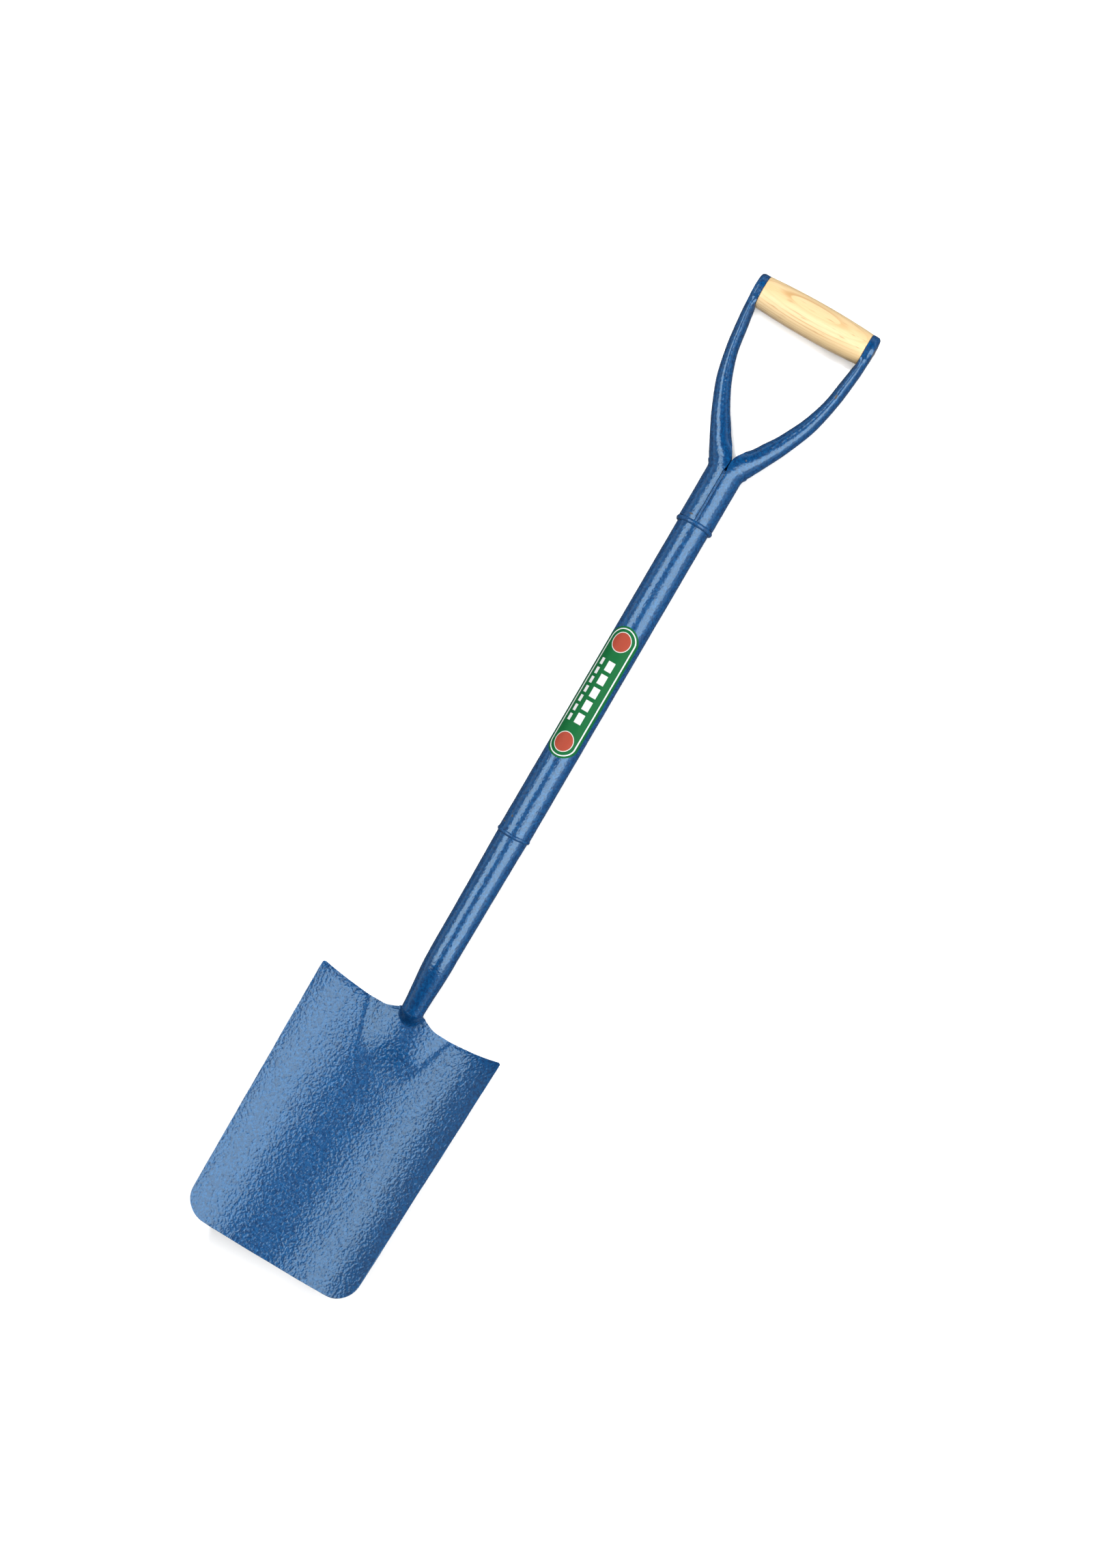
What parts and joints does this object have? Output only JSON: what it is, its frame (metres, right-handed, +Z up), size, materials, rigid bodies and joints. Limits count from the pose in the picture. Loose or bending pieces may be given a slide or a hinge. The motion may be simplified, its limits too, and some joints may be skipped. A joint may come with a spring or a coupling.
{
  "type": "garden spade",
  "caption": "All-steel garden spade with a flat-mouthed dished blade, a cranked tubular neck and shaft, and a Y-shaped handle with a turned wooden grip.",
  "frame": {"origin": "on the ground, under the middle of the box of the tool as it lies on its back", "axes": "+X from the grip along the shaft to the blade's tip, +Y to the right seen from above with the grip at the top, +Z up, out of the blade's dished face"},
  "size_m": [1.005, 0.1882, 0.0783],
  "materials": {
    "blue_paint": "glossy blue hammered enamel on steel",
    "grip_wood": "clear satin lacquer on pale turned hardwood",
    "rivet_steel": "bright rod with hammered domed ends",
    "label_film": null
  },
  "bodies": {
    "root": {"blade": "blue_paint", "neck_weld": "blue_paint", "edge_weld": "blue_paint", "neck_tube": "blue_paint", "lower_collar_weld": "blue_paint", "shaft_tube": "blue_paint", "label": "label_film", "upper_collar_weld": "blue_paint", "handle_half_left": "blue_paint", "handle_half_right": "blue_paint", "seam_weld_front": "blue_paint", "seam_weld_back": "blue_paint", "grip": "grip_wood", "grip_rod": "rivet_steel", "rivet_head_left": "rivet_steel", "rivet_head_right": "rivet_steel"}
  },
  "joints": []
}
